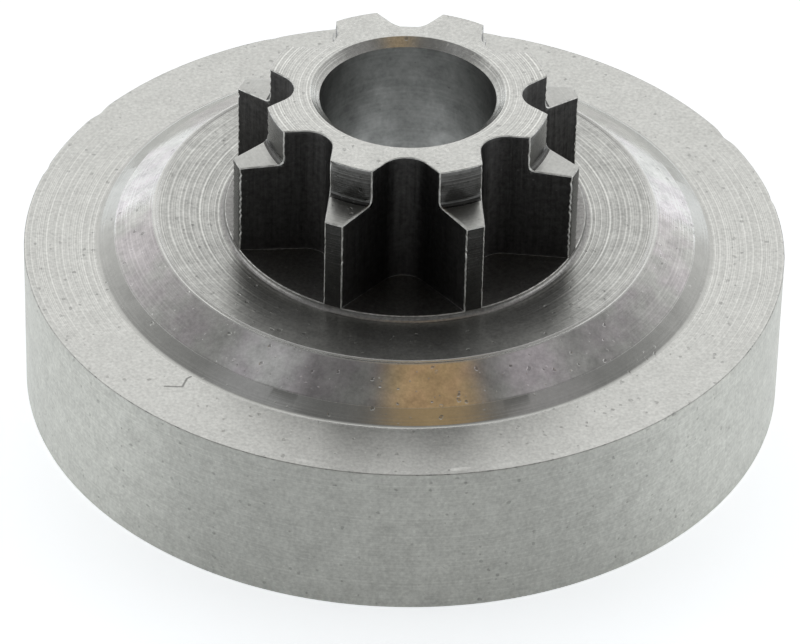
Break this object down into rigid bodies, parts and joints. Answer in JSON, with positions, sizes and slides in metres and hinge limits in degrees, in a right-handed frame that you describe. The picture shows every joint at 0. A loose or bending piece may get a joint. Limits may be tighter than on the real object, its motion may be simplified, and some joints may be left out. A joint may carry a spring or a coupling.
{
  "type": "clutch drum",
  "caption": "Round steel clutch drum: an open cup with a raised turned crest and a stepped spur sprocket around a plain bore, for driving a saw chain.",
  "frame": {"origin": "centre of the open mouth, on the plane that the drum stands on", "axes": "+Z along the bore axis from the open mouth towards the sprocket; +X and +Y each run through the middle of a tooth gap"},
  "size_m": [0.061, 0.061, 0.0277],
  "materials": {
    "turned_steel": "bare turned steel with fine concentric tool marks"
  },
  "bodies": {
    "root": {"clutch_drum": "turned_steel"}
  },
  "joints": []
}
